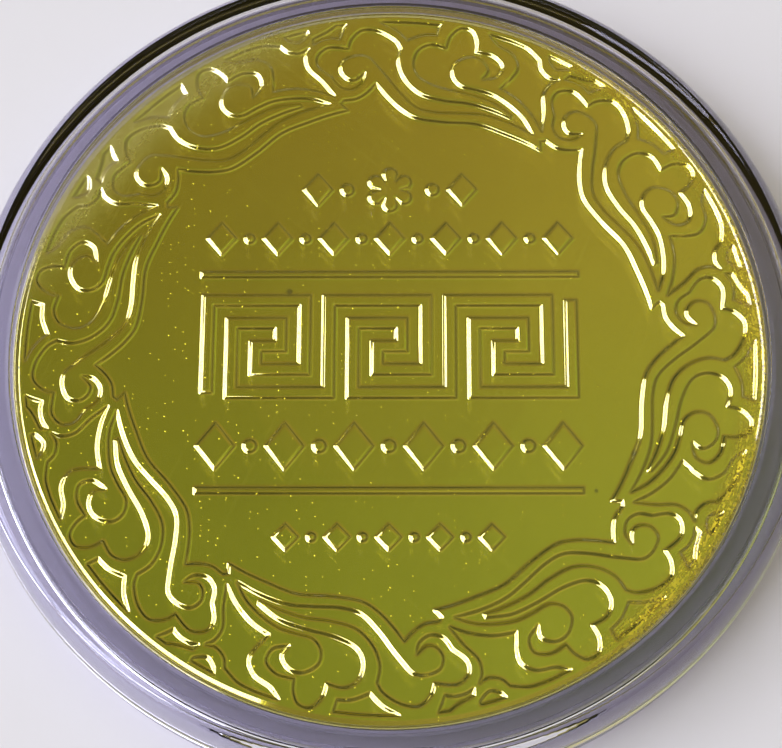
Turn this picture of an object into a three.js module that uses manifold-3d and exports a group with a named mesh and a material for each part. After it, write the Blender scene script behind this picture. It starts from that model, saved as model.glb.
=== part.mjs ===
// Struck sports finisher medal, gilt, in a clear two-part snap capsule.
//
// The capsule base lies on the ground and the medal lies on its seat, face up.
// The lid's skirt slips over the seat wall and rests on the base's ledge.
// Millimetres, +Z up, +Y towards the top of the medal's design.
// The origin is the centre of the capsule's underside.

import * as THREE from 'three';
import { mergeVertices } from 'three/addons/utils/BufferGeometryUtils.js';
import Module from 'manifold-3d';

const wasm = await Module();
wasm.setup();

// Medal
const medalDiameter = 45;
const medalThickness = 3;
const medalSegments = 96;
const rimWidth = 0.75;
const edgeRound = 0.3;
const edgeSteps = 2;
const reliefHeight = 0.17;
const wallDraft = 0.16;
const reverseDepth = 0.2;
const reverseDraft = 0.2;

// Ornament of the medal
const scrollCount = 8;
const outlineTolerance = 0.022;
const fineSteps = 8;
const beadSides = 10;
const petalSteps = 6;
const inlay = 0.1;
const ruleHalfLength = 11.36;
const ruleWidth = 0.5;
const upperRuleY = 4.87;
const lowerRuleY = -8.61;
const fretPitch = 1.45;
const fretStroke = 0.84;
const fretUnits = 3;
const fretCentreY = 0.3;
const ornamentDraft = 0.16;
const ornamentHeight = 0.15;

// Capsule, the same for both halves
const capsuleSegments = 72;
const windowThickness = 1.2;
const seatClearance = 0.15;
const seatWallThickness = 1.25;
const skirtClearance = 0.15;
const skirtThickness = 1.55;
const stepHeight = 0.2;
const stepWidth = 1.9;
const headroom = 0.2;
const ledgeHeight = 2.6;
const lipHeight = 0.7;
const lipChamfer = 0.15;
const shoulderWidth = 1.2;
const shoulderSteps = 4;
const pocketDepth = 0.6;
const pocketClearance = 0.2;
const wallChamfer = 0.2;
const snapHeight = 1.1;
const snapGap = 0.05;
const snapHalfWidth = 0.25;

// Worked out from the sizes above
const medalRadius = medalDiameter / 2;
const rimInner = medalRadius - rimWidth;
const seatRadius = medalRadius + seatClearance;
const wallRadius = seatRadius + seatWallThickness;
const skirtInner = wallRadius + skirtClearance;
const capsuleRadius = skirtInner + skirtThickness;
const medalBottom = windowThickness + stepHeight;
const medalTop = medalBottom + medalThickness;
const lidStepZ = medalTop + headroom;
const lidCeiling = lidStepZ + stepHeight;
const capsuleHeight = lidCeiling + windowThickness;
const pocketTop = lidStepZ + pocketDepth;
const wallTop = pocketTop - pocketClearance;
const snapZ = ledgeHeight + snapHeight;
const snapDepth = skirtClearance - snapGap;

const vec = (x, y) => new THREE.Vector2(x, y);

// Solids
function closedIndex(geometry) {
  const bare = geometry.clone();
  bare.deleteAttribute('normal');
  bare.deleteAttribute('uv');
  const merged = mergeVertices(bare, 1e-4);
  const index = merged.index.array;
  const kept = [];
  for (let i = 0; i < index.length; i += 3) {
    const [a, b, c] = index.slice(i, i + 3);
    if (a !== b && b !== c && c !== a) kept.push(a, b, c);
  }
  merged.setIndex(kept);
  return merged;
}

function toSolid(geometry) {
  const merged = closedIndex(geometry);
  return new wasm.Manifold(new wasm.Mesh({
    numProp: 3,
    vertProperties: new Float32Array(merged.attributes.position.array),
    triVerts: new Uint32Array(merged.index.array),
  }));
}

function toGeometry(solid) {
  const mesh = solid.getMesh();
  const geometry = new THREE.BufferGeometry();
  geometry.setAttribute('position', new THREE.BufferAttribute(mesh.vertProperties, 3));
  geometry.setIndex(new THREE.BufferAttribute(mesh.triVerts, 1));
  geometry.computeVertexNormals();
  return geometry;
}

// Turns a profile of radius and height about Z
function revolve(profile, segments) {
  const geometry = new THREE.LatheGeometry(profile, segments);
  geometry.rotateX(Math.PI / 2);
  return closedIndex(geometry);
}

// A quarter ellipse from one profile point to another, bulging to the corner
function roundCorner(from, to, corner, steps) {
  const points = [];
  for (let i = 0; i <= steps; i++) {
    const t = (i / steps) * Math.PI / 2;
    const x = corner.x + (from.x - corner.x) * (1 - Math.sin(t)) + (to.x - corner.x) * (1 - Math.cos(t));
    const y = corner.y + (from.y - corner.y) * (1 - Math.sin(t)) + (to.y - corner.y) * (1 - Math.cos(t));
    points.push(vec(x, y));
  }
  return points;
}

// The medal's blank: a disc with rounded edges and a plain reverse inside its rim
function medalBlank() {
  const r = medalRadius;
  const h = medalThickness;
  const profile = [
    vec(0, reverseDepth),
    vec(rimInner - reverseDraft, reverseDepth),
    vec(rimInner, 0),
    ...roundCorner(vec(r - edgeRound, 0), vec(r, edgeRound), vec(r, 0), edgeSteps),
    ...roundCorner(vec(r, h - edgeRound), vec(r - edgeRound, h), vec(r, h), edgeSteps),
    vec(0, h),
  ];
  return toSolid(revolve(profile, medalSegments));
}

// Cloud scrolls. Each is drawn once, at the top of the medal, in millimetres of
// a medal whose rim has its inner edge at this point, and repeated all round.
// The lines are the middles of the sloping walls round each sunk area.
// A stroke is one smooth line, and corners lie where two strokes meet.
const drawnRimPoint = [6.22, 20.84];
const drawnRimInner = Math.hypot(...drawnRimPoint);
const drawingScale = rimInner / drawnRimInner;

// A point drawn on the rim's inner edge, in degrees clockwise from the top
function onRim(degrees) {
  const turn = THREE.MathUtils.degToRad(degrees);
  return [drawnRimInner * Math.sin(turn), drawnRimInner * Math.cos(turn)];
}

// A point drawn in the next scroll anticlockwise
function nextScroll([x, y]) {
  const turn = (2 * Math.PI) / scrollCount;
  return [x * Math.cos(turn) - y * Math.sin(turn), x * Math.sin(turn) + y * Math.cos(turn)];
}

const cloudInside = [
  // tail to the neck of the small curl
  [[8.72, 14.08], [7.3, 14.85], [5.8, 15.37], [4.3, 15.5], [2.8, 15.57], [1.6, 15.92], [0.6, 16.9],
    [-0.22, 18.0], [-0.82, 18.75]],
  // round the small curl's head
  [[-0.82, 18.75], [-1.4, 19.35], [-2.15, 19.45], [-2.95, 19.1], [-3.12, 18.4], [-2.75, 17.88],
    [-2.2, 17.77], [-1.62, 18.25]],
  // lower, left and upper lobes of the small cloud
  [[-1.62, 18.25], [-1.75, 17.6], [-2.4, 17.15], [-3.15, 17.32], [-3.65, 17.98]],
  [[-3.65, 17.98], [-4.45, 18.6], [-4.58, 19.35], [-3.9, 19.98], [-2.65, 19.92]],
  [[-2.65, 19.92], [-2.42, 20.6], [-1.75, 21.2], [-0.75, 21.1], [0.25, 20.5], [0.63, 19.9]],
  // out along the rib between the clouds and back
  [[0.63, 19.9], [0.48, 18.9], [0.9, 17.75], [1.85, 16.8], [3.3, 16.35], [4.8, 16.15], [6.2, 15.7],
    [7.4, 15.15]],
  [[7.4, 15.15], [7.45, 15.35]],
  [[7.45, 15.35], [6.3, 16.25], [4.8, 16.8], [3.1, 17.25], [1.85, 17.9], [1.43, 18.8], [1.7, 19.75],
    [2.5, 20.18], [3.48, 19.95]],
  // upper and right lobes of the large cloud
  [[3.48, 19.95], [3.75, 20.75], [4.4, 21.3], [5.1, 21.1], [5.38, 20.4], [5.35, 19.68]],
  [[5.35, 19.68], [6.35, 19.4], [6.95, 18.7], [6.6, 17.95], [5.7, 17.78]],
  // round the large curl's head and out along the tail
  [[5.7, 17.78], [6.08, 18.4], [5.65, 19.12], [4.85, 19.32], [4.0, 18.85], [3.85, 18.05], [4.35, 17.35],
    [5.4, 17.05], [6.4, 16.68], [7.4, 15.95], [8.2, 15.1], [8.72, 14.08]],
];

const pocketBetweenLobes = [
  [onRim(-1.6), [0.35, 21.2], [1.05, 20.5]],
  [[1.05, 20.5], [2.0, 20.85], [2.9, 20.87]],
  [[2.9, 20.87], onRim(8.2)],
  [onRim(8.2), onRim(4.75), onRim(1.6), onRim(-1.6)],
];

const pocketLeftOfCloud = [
  [onRim(-7.55), [-3.05, 21.05], [-3.2, 20.6]],
  [[-3.2, 20.6], [-3.75, 20.66], [-4.4, 20.5], [-4.85, 20.22]],
  [[-4.85, 20.22], [-4.85, 20.6]],
  [[-4.85, 20.6], [-4.15, 20.98], [-3.75, 21.25], onRim(-9.25)],
  [onRim(-9.25), onRim(-7.55)],
];

const valleyBetweenClouds = [
  [[-3.5, 16.68], [-4.25, 17.65], [-5.1, 18.5], [-5.32, 19.3], [-5.15, 19.9]],
  [[-5.15, 19.9], [-5.7, 19.6], [-6.4, 19.66], [-6.9, 20.05]],
  [[-6.9, 20.05], [-8.0, 20.1], onRim(-24.75)],
  [onRim(-24.75), onRim(-26.5), nextScroll(drawnRimPoint)],
  [nextScroll(drawnRimPoint), nextScroll([6.7, 20.15]), nextScroll([7.65, 19.45]),
    nextScroll([7.9, 18.4]), nextScroll([6.85, 17.15])],
  [nextScroll([6.85, 17.15]), nextScroll([7.9, 16.4]), nextScroll([8.75, 15.35]), [-3.5, 16.68]],
];

const pocketInHalfDisc = [
  [onRim(-13.95), [-5.25, 20.85], [-5.75, 20.35], [-6.35, 20.45], onRim(-17.8)],
  [onRim(-17.8), onRim(-15.9), onRim(-13.95)],
];

// One eighth of the edge of the plain middle field
const fieldEdge = [
  [nextScroll([9.23, 12.98]), [-3.05, 16.15]],
  [[-3.05, 16.15], [-2.85, 16.38]],
  [[-2.85, 16.38], [-2.1, 16.5], [-1.5, 16.88], [-0.9, 17.5]],
  [[-0.9, 17.5], [-0.15, 16.55], [0.65, 15.75], [1.6, 15.18], [3.3, 14.9], [5.3, 14.75], [7.1, 14.05],
    [8.3, 13.5], [9.23, 12.98]],
];

// Drops the points of a fine line that lie within the tolerance of its chords
function simplified(line) {
  const first = line[0];
  const last = line[line.length - 1];
  const chord = last.clone().sub(first);
  let worst = 0;
  let at = 0;
  for (let i = 1; i < line.length - 1; i++) {
    const off = Math.abs(line[i].clone().sub(first).cross(chord)) / chord.length();
    if (off > worst) {
      worst = off;
      at = i;
    }
  }
  if (worst <= outlineTolerance) return [first, last];
  return [...simplified(line.slice(0, at + 1)), ...simplified(line.slice(at)).slice(1)];
}

// The corners and curves of a list of strokes, without the point that closes it
function strokePoints(strokes) {
  return strokes.flatMap((stroke) => {
    const points = stroke.map(([x, y]) => vec(x, y).multiplyScalar(drawingScale));
    const fine = new THREE.SplineCurve(points).getPoints(fineSteps * (points.length - 1));
    return simplified(fine).slice(0, -1);
  });
}

function outline(strokes) {
  return new THREE.Shape(strokePoints(strokes));
}

function fieldOutline() {
  const eighth = strokePoints(fieldEdge);
  const points = [];
  for (let k = 0; k < scrollCount; k++) {
    const turn = (-2 * Math.PI * k) / scrollCount;
    points.push(...eighth.map((p) => p.clone().rotateAround(vec(0, 0), turn)));
  }
  return new THREE.Shape(points);
}

// A cutter whose sloping walls leave a floor reliefHeight below the medal's face
function sunkArea(shape) {
  const geometry = new THREE.ExtrudeGeometry(shape, {
    depth: medalThickness,
    bevelEnabled: true,
    bevelThickness: reliefHeight,
    bevelSize: wallDraft,
    bevelOffset: -wallDraft / 2,
    bevelSegments: 1,
  });
  geometry.translate(0, 0, medalThickness);
  return toSolid(geometry);
}

// A raised figure on the sunk field, with sloping walls
function raisedFigure(shape, height) {
  const geometry = new THREE.ExtrudeGeometry(shape, {
    depth: inlay,
    bevelEnabled: true,
    bevelThickness: height,
    bevelSize: ornamentDraft,
    bevelOffset: -ornamentDraft,
    bevelSegments: 1,
  });
  geometry.translate(0, 0, medalThickness - reliefHeight - inlay);
  return toSolid(geometry);
}

// A band of even width along a line with square turns
function ribbon(line, width) {
  const side = (sign) => line.map((p, i) => {
    const before = line[Math.max(i - 1, 0)];
    const after = line[Math.min(i + 1, line.length - 1)];
    const inward = p.clone().sub(before).normalize();
    const onward = after.clone().sub(p).normalize();
    const reach = inward.clone().add(onward);
    const normal = vec(-reach.y, reach.x).normalize();
    const along = i === 0 ? onward : inward;
    const spread = (width / 2) / Math.abs(normal.dot(vec(-along.y, along.x)));
    return p.clone().addScaledVector(normal, sign * spread);
  });
  return new THREE.Shape([...side(-1), ...side(1).reverse()]);
}

// Squared meander: one line that winds in and out of each unit
const meanderUnit = [[0, 0], [0, 4], [4, 4], [4, 1], [2, 1], [2, 2], [3, 2], [3, 3], [1, 3], [1, 0]];
const meanderUnitWidth = 5;
const meanderUnitHeight = 4;

function meanderLine(pitch, units, centreY) {
  const columns = units * meanderUnitWidth;
  const at = (x, y) => vec((x - columns / 2) * pitch, (y - meanderUnitHeight / 2) * pitch + centreY);
  const line = [];
  for (let k = 0; k < units; k++) {
    for (const [x, y] of meanderUnit) line.push(at(x + k * meanderUnitWidth, y));
  }
  line.push(at(columns, 0), at(columns, meanderUnitHeight));
  return line;
}

function lozenge(x, y, halfWidth, halfHeight) {
  return new THREE.Shape([
    vec(x - halfWidth, y), vec(x, y - halfHeight), vec(x + halfWidth, y), vec(x, y + halfHeight),
  ]);
}

function bead(x, y, radius) {
  const points = [];
  for (let k = 0; k < beadSides; k++) {
    const a = (2 * Math.PI * k) / beadSides;
    points.push(vec(x + radius * Math.cos(a), y + radius * Math.sin(a)));
  }
  return new THREE.Shape(points);
}

// A flower whose outline swells from the notches to the middle of each petal
function rosette(x, y, petals, inner, outer) {
  const points = [];
  const steps = petals * petalSteps;
  for (let k = 0; k < steps; k++) {
    const a = (2 * Math.PI * k) / steps;
    const swell = Math.sqrt(Math.abs(Math.cos((petals * a) / 2)));
    const r = inner + (outer - inner) * swell;
    points.push(vec(x + r * Math.sin(a), y + r * Math.cos(a)));
  }
  return new THREE.Shape(points);
}

// Rows of lozenges with a bead between each two
const upperRow = { y: 7.2, lozenges: 7, pitch: 3.4, halfWidth: 0.95, halfHeight: 1.1, bead: 0.36 };
const lowerRow = { y: -5.9, lozenges: 6, pitch: 4.1, halfWidth: 1.2, halfHeight: 1.5, bead: 0.45 };
const bottomRow = { y: -11.4, lozenges: 5, pitch: 3, halfWidth: 0.8, halfHeight: 0.85, bead: 0.32 };
const topRosette = { y: 10.4, petals: 6, inner: 0.75, outer: 1.5 };
const topBeads = { offset: 2.6, radius: 0.45, lozengeOffset: 4.4, halfWidth: 0.95, halfHeight: 1.1 };

function middleOrnament() {
  const rule = (y) => ribbon([vec(-ruleHalfLength, y), vec(ruleHalfLength, y)], ruleWidth);
  const shapes = [rule(upperRuleY), rule(lowerRuleY)];
  shapes.push(ribbon(meanderLine(fretPitch, fretUnits, fretCentreY), fretStroke));
  for (const row of [upperRow, lowerRow, bottomRow]) {
    for (let k = 0; k < row.lozenges; k++) {
      const x = (k - (row.lozenges - 1) / 2) * row.pitch;
      shapes.push(lozenge(x, row.y, row.halfWidth, row.halfHeight));
      if (k > 0) shapes.push(bead(x - row.pitch / 2, row.y, row.bead));
    }
  }
  shapes.push(rosette(0, topRosette.y, topRosette.petals, topRosette.inner, topRosette.outer));
  for (const side of [-1, 1]) {
    shapes.push(bead(side * topBeads.offset, topRosette.y, topBeads.radius));
    shapes.push(lozenge(side * topBeads.lozengeOffset, topRosette.y, topBeads.halfWidth,
      topBeads.halfHeight));
  }
  return shapes;
}

function strikeMedal() {
  let solid = medalBlank();
  solid = solid.subtract(sunkArea(fieldOutline()));
  for (const strokes of [cloudInside, pocketBetweenLobes, pocketLeftOfCloud, valleyBetweenClouds,
    pocketInHalfDisc]) {
    const cutter = sunkArea(outline(strokes));
    for (let k = 0; k < scrollCount; k++) {
      solid = solid.subtract(cutter.rotate([0, 0, (360 * k) / scrollCount]));
    }
  }
  for (const shape of middleOrnament()) solid = solid.add(raisedFigure(shape, ornamentHeight));
  return toGeometry(solid);
}

// Capsule base: window, medal seat, seat wall with its snap bead, and the ledge
function baseProfile() {
  const lipBottom = ledgeHeight - lipHeight;
  return [
    vec(0, 0),
    ...roundCorner(vec(capsuleRadius - shoulderWidth, 0), vec(capsuleRadius, lipBottom),
      vec(capsuleRadius, 0), shoulderSteps),
    vec(capsuleRadius, ledgeHeight - lipChamfer),
    vec(capsuleRadius - lipChamfer, ledgeHeight),
    vec(wallRadius, ledgeHeight),
    vec(wallRadius, snapZ - snapHalfWidth),
    vec(wallRadius + snapDepth, snapZ),
    vec(wallRadius, snapZ + snapHalfWidth),
    vec(wallRadius, wallTop - wallChamfer),
    vec(wallRadius - wallChamfer, wallTop),
    vec(seatRadius + wallChamfer, wallTop),
    vec(seatRadius, wallTop - wallChamfer),
    vec(seatRadius, medalBottom),
    vec(seatRadius - stepWidth, medalBottom),
    vec(seatRadius - stepWidth, windowThickness),
    vec(0, windowThickness),
  ];
}

// Capsule lid: window, hold-down step, the pocket for the seat wall, and the skirt
function lidProfile() {
  const lipTop = ledgeHeight + lipHeight;
  return [
    vec(0, lidCeiling),
    vec(seatRadius - stepWidth, lidCeiling),
    vec(seatRadius - stepWidth, lidStepZ),
    vec(seatRadius - skirtClearance, lidStepZ),
    vec(seatRadius - skirtClearance, pocketTop),
    vec(skirtInner, pocketTop),
    vec(skirtInner, snapZ + snapHalfWidth),
    vec(skirtInner + snapDepth, snapZ),
    vec(skirtInner, snapZ - snapHalfWidth),
    vec(skirtInner, ledgeHeight),
    vec(capsuleRadius - lipChamfer, ledgeHeight),
    vec(capsuleRadius, ledgeHeight + lipChamfer),
    ...roundCorner(vec(capsuleRadius, lipTop), vec(capsuleRadius - shoulderWidth, capsuleHeight),
      vec(capsuleRadius, capsuleHeight), shoulderSteps),
    vec(0, capsuleHeight),
  ];
}

const gilt = new THREE.MeshStandardMaterial({ color: 0xb59a2c, roughness: 0.12, metalness: 1 });
const clearPlastic = () => new THREE.MeshStandardMaterial({
  color: 0xdfe4ea, roughness: 0.05, metalness: 0, transparent: true, opacity: 0.25,
});

function piece(name, geometry, material) {
  const mesh = new THREE.Mesh(geometry, material);
  mesh.name = name;
  return mesh;
}

const group = new THREE.Group();
const medal = piece('medal', strikeMedal(), gilt);
medal.position.z = medalBottom;
group.add(medal);
group.add(piece('capsule_base', revolve(baseProfile(), capsuleSegments), clearPlastic()));
group.add(piece('capsule_lid', revolve(lidProfile(), capsuleSegments), clearPlastic()));

export default group;
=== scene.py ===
# %% [markdown]
# A struck gilt finisher medal, lying face up in a clear two-part snap capsule.
#
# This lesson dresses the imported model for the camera. The medal's face is a mirror
# with a shallow raised ornament, so nearly all that the eye sees on it is how its
# walls catch the light. The capsule is clear plastic, so what shows there is how
# its edges bend and mirror what is round it. Both need exact, smooth surfaces, and
# so both pieces are made anew here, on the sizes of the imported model.
#
# Sizes are in millimetres, and meshes are written in metres.

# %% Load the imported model
import math

import bmesh
import bpy
import numpy as np
from mathutils import Matrix, Vector
from mathutils.geometry import delaunay_2d_cdt


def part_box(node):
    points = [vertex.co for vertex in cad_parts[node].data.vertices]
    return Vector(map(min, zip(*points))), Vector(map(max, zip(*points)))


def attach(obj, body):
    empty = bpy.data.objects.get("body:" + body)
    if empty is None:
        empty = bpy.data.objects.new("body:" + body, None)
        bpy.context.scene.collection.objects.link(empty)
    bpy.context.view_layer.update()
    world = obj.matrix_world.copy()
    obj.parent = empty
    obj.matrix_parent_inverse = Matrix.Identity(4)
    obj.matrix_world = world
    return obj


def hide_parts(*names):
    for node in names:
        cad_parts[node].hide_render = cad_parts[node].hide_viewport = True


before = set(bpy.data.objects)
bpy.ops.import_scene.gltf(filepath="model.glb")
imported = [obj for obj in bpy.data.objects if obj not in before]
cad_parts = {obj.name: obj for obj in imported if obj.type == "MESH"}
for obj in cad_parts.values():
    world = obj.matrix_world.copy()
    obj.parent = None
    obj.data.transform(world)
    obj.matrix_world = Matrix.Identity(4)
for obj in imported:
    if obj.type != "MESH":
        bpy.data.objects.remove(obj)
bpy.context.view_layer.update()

MM = 0.001


def box_mm(name):
    """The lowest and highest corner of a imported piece, in millimetres."""
    low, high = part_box(name)
    return [c / MM for c in low], [c / MM for c in high]


medal_low, medal_high = box_mm("medal")
base_high = box_mm("capsule_base")[1]
lid_low, lid_high = box_mm("capsule_lid")
MEDAL_RADIUS = medal_high[0]
MEDAL_BOTTOM, MEDAL_TOP = medal_low[2], medal_high[2]
CAPSULE_RADIUS = lid_high[0]
CAPSULE_HEIGHT = lid_high[2]
LEDGE_HEIGHT = lid_low[2]
WALL_TOP = base_high[2]
print(f"medal {2 * MEDAL_RADIUS:.2f} mm across, z {MEDAL_BOTTOM:.2f} to {MEDAL_TOP:.2f}")
print(f"capsule {2 * CAPSULE_RADIUS:.2f} mm across, {CAPSULE_HEIGHT:.2f} high")

# %% [markdown]
# Shader and geometry trees are long when each node is written out. Two small
# classes keep them short. Value wraps a socket, so that Python's own + - * / add
# the Math nodes. Tree.add makes any other node: its settings first, then its
# sockets, each a plain value or a link.

# %% Helpers for node trees
class Value:
    """A socket whose Python operators add Math nodes to its tree."""

    def __init__(self, tree, socket):
        self.tree = tree
        self.socket = socket

    def maths(self, operation, *operands):
        """One Math node on values and plain numbers."""
        node = self.tree.nodes.new("ShaderNodeMath")
        node.operation = operation
        for slot, operand in zip(node.inputs, operands):
            join(self.tree, operand, slot)
        return Value(self.tree, node.outputs[0])

    def __add__(self, other):
        return self.maths("ADD", self, other)

    def __radd__(self, other):
        return self.maths("ADD", other, self)

    def __sub__(self, other):
        return self.maths("SUBTRACT", self, other)

    def __rsub__(self, other):
        return self.maths("SUBTRACT", other, self)

    def __mul__(self, other):
        return self.maths("MULTIPLY", self, other)

    def __rmul__(self, other):
        return self.maths("MULTIPLY", other, self)

    def __truediv__(self, other):
        return self.maths("DIVIDE", self, other)

    def __rtruediv__(self, other):
        return self.maths("DIVIDE", other, self)


def join(tree, value, socket):
    """Links a Value to a socket, or writes a plain value on it."""
    if isinstance(value, Value):
        tree.links.new(value.socket, socket)
    else:
        socket.default_value = value


class Tree:
    """A node tree that makes its nodes by one method."""

    def __init__(self, tree):
        self.tree = tree
        tree.nodes.clear()

    def add(self, kind, settings=None, sockets=None, out=0):
        """Makes a node and returns one of its outputs."""
        node = self.tree.nodes.new(kind)
        for name, setting in (settings or {}).items():
            setattr(node, name, setting)
        for name, value in (sockets or {}).items():
            join(self.tree, value, node.inputs[name])
        return Value(self.tree, node.outputs[out]) if node.outputs else node


# %% [markdown]
# The camera stands where the photograph was taken: about 125 mm from the medal, 18
# degrees off the vertical and turned a little, with a long lens. Its place and
# turn were found by fitting the medal's round edge and its ornament.

# %% Camera
def placed(name, data):
    """A new object in the scene, with its camera, lamp or mesh."""
    thing = bpy.data.objects.new(name, data)
    bpy.context.scene.collection.objects.link(thing)
    return thing


PHOTO_WIDTH = 782
FOCAL_PIXELS = 2102.9
TILT, SWING, ROLL = (math.radians(a) for a in (18.18, 2.35, -2.27))
DISTANCE = 125.5
TARGET = (0.09, -1.35, MEDAL_TOP)
SENSOR_WIDTH = 36
NEAREST = 10

back = Vector((math.sin(SWING) * math.sin(TILT), -math.cos(SWING) * math.sin(TILT), math.cos(TILT)))
level = Vector((0, 0, 1)).cross(back).normalized()
rise = back.cross(level)
right = level * math.cos(ROLL) + rise * math.sin(ROLL)
up = rise * math.cos(ROLL) - level * math.sin(ROLL)
camera = placed("camera", bpy.data.cameras.new("camera"))
turn = Matrix((right, up, back)).transposed().to_4x4()
camera.matrix_world = Matrix.Translation((Vector(TARGET) + back * DISTANCE) * MM) @ turn
camera.data.sensor_width = SENSOR_WIDTH
camera.data.lens = FOCAL_PIXELS / PHOTO_WIDTH * SENSOR_WIDTH
camera.data.clip_start = NEAREST * MM
bpy.context.scene.camera = camera
print(f"lens {camera.data.lens:.1f} mm")

# %% [markdown]
# A mirror shows the room, so the room is part of the finish. It could be built from
# walls and lamps, but a mirror only asks how bright each direction is, so the world is
# painted by direction. Low down it is dim, high up it is brighter, a little more so on
# the camera's side, and it gets brighter to the right. The flat field of the medal
# mirrors a place just behind the vertical, where the light is soft and warm. The steep
# middle of each wall mirrors the dim part, which gives the thin dark lines.

# %% Helpers for soft steps and tints
def between(tree, value, low, high, to_low=0.0, to_high=1.0):
    """A smooth step from one value to another, as value goes from low to high."""
    return tree.add("ShaderNodeMapRange", {"interpolation_type": "SMOOTHSTEP"}, {
        "Value": value, "From Min": low, "From Max": high, "To Min": to_low, "To Max": to_high})


def tinted(tree, factor, low, high):
    """A colour between two, by a factor. The node's colours are its sockets 6 and 7 and its output 2."""
    return tree.add("ShaderNodeMix", {"data_type": "RGBA"}, {"Factor": factor, 6: low, 7: high}, out=2)


def coordinate(tree, vector, axis):
    """The X, Y or Z of a vector."""
    return tree.add("ShaderNodeSeparateXYZ", None, {"Vector": vector}, out=axis)


# %% The room
ROOM = 0.1
CEILING, CEILING_TILT, CEILING_STEP = 0.265, 0.35, (0.35, 0.85)
FRONT, FRONT_STEP = 0.08, (0.15, -0.15)
RIGHT_SIDE, RIGHT_STEP = 0.24, (-0.15, 0.2)
RIGHT_LOW_DOWN, HIGH_UP_STEP = 0.35, (0.84, 0.92)
SKY_OVERHEAD = (0.89, 1.03, 0.22, 1)
SKY_BEHIND = (1.07, 0.83, 0.22, 1)
SKY_IN_FRONT = (1.05, 0.9, 0.3, 1)
SKY_LOW_DOWN = (1.0, 0.89, 0.42, 1)
BEHIND_STEP, IN_FRONT_STEP, LOW_DOWN_STEP = (0.2, 0.46), (0.1, -0.3), (0.5, 0.85)

world = bpy.data.worlds.new("room")
world.use_nodes = True
bpy.context.scene.world = world
sky = Tree(world.node_tree)
direction = sky.add("ShaderNodeTexCoord", out="Generated")
to_right = coordinate(sky, direction, "X")
to_back = coordinate(sky, direction, "Y")
upwards = coordinate(sky, direction, "Z")
ceiling = between(sky, upwards + to_back * CEILING_TILT, *CEILING_STEP)
front = between(sky, to_back, *FRONT_STEP) * FRONT
right_side = between(sky, to_right, *RIGHT_STEP) * RIGHT_SIDE
right_side = right_side * between(sky, upwards, *HIGH_UP_STEP, RIGHT_LOW_DOWN, 1)
strength = ceiling * (front + (CEILING - ROOM)) + right_side + ROOM
warm = tinted(sky, between(sky, to_back, *BEHIND_STEP), SKY_OVERHEAD, SKY_BEHIND)
warm = tinted(sky, between(sky, to_back, *IN_FRONT_STEP), warm, SKY_IN_FRONT)
tint = tinted(sky, between(sky, upwards, *LOW_DOWN_STEP), SKY_LOW_DOWN, warm)
light = sky.add("ShaderNodeBackground", None, {"Color": tint, "Strength": strength})
sky.add("ShaderNodeOutputWorld", None, {"Surface": light})
print(f"room {ROOM} low down, {CEILING} high up, {RIGHT_SIDE} more to the right")

# %% [markdown]
# The white edges of the relief all face left: they mirror one tall, wide window. An
# area lamp is flat, so three of them stand side by side in an arc, each a little
# higher than the one behind it, and overlap so that the mirror shows no gap. They stand
# two metres off, so that the floor is lit evenly. Their light is bluish, which makes
# up for the yellow that the room gives the floor.

# %% The window
WINDOW_RADIANCE = 5.2
WINDOW_COLOUR = (0.75, 0.755, 1.0)
WINDOW_DISTANCE = 2.0
WINDOW_AZIMUTH = 188
PANEL_ANGLE = 28
PANEL_ELEVATIONS = (31, 36, 41)
PANEL_HEIGHT = 48
PANEL_OVERLAP = 1.12


def towards(azimuth, elevation):
    """The direction at an azimuth and an elevation, in degrees."""
    a, e = math.radians(azimuth), math.radians(elevation)
    return Vector((math.cos(a) * math.cos(e), math.sin(a) * math.cos(e), math.sin(e)))


for k, elevation in enumerate(PANEL_ELEVATIONS):
    to_panel = towards(WINDOW_AZIMUTH + (k - 1) * PANEL_ANGLE, elevation)
    lamp = bpy.data.lights.new(f"window_{k}", "AREA")
    lamp.shape = "RECTANGLE"
    distance_round = WINDOW_DISTANCE * math.cos(math.radians(elevation))
    lamp.size = 2 * distance_round * math.tan(math.radians(PANEL_ANGLE / 2)) * PANEL_OVERLAP
    lamp.size_y = 2 * WINDOW_DISTANCE * math.tan(math.radians(PANEL_HEIGHT / 2))
    lamp.energy = WINDOW_RADIANCE * math.pi * lamp.size * lamp.size_y / PANEL_OVERLAP
    lamp.color = WINDOW_COLOUR
    panel = placed(lamp.name, lamp)
    panel.location = to_panel * WINDOW_DISTANCE
    panel.rotation_euler = to_panel.to_track_quat("Z", "Y").to_euler()
    print(f"{panel.name}: {lamp.size:.2f} by {lamp.size_y:.2f} m")

# %% [markdown]
# The floor is plain and pale, and large enough to fill the other views too. It lies a
# hair below the capsule, because two faces in one place would show as noise.

# %% The floor
FLOOR_SIZE = 8.0
FLOOR_GAP = 0.02
FLOOR_COLOUR, FLOOR_ROUGHNESS = (0.8, 0.79, 0.78, 1), 0.7


def material(name):
    """A new material, and its empty node tree."""
    made = bpy.data.materials.new(name)
    made.use_nodes = True
    return made, Tree(made.node_tree)


floor_paint, tree = material("floor_paint")
matt = tree.add("ShaderNodeBsdfPrincipled", None, {
    "Base Color": FLOOR_COLOUR, "Roughness": FLOOR_ROUGHNESS})
tree.add("ShaderNodeOutputMaterial", None, {"Surface": matt})
floor_mesh = bpy.data.meshes.new("floor")
half = FLOOR_SIZE / 2
corners = [(x, y, -FLOOR_GAP * MM) for x, y in ((-half, -half), (half, -half), (half, half), (-half, half))]
floor_mesh.from_pydata(corners, [], [(0, 1, 2, 3)])
floor_mesh.materials.append(floor_paint)
floor = placed("floor", floor_mesh)
bpy.context.scene.view_settings.view_transform = "Standard"
print(f"floor {FLOOR_SIZE:.0f} m across")

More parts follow.
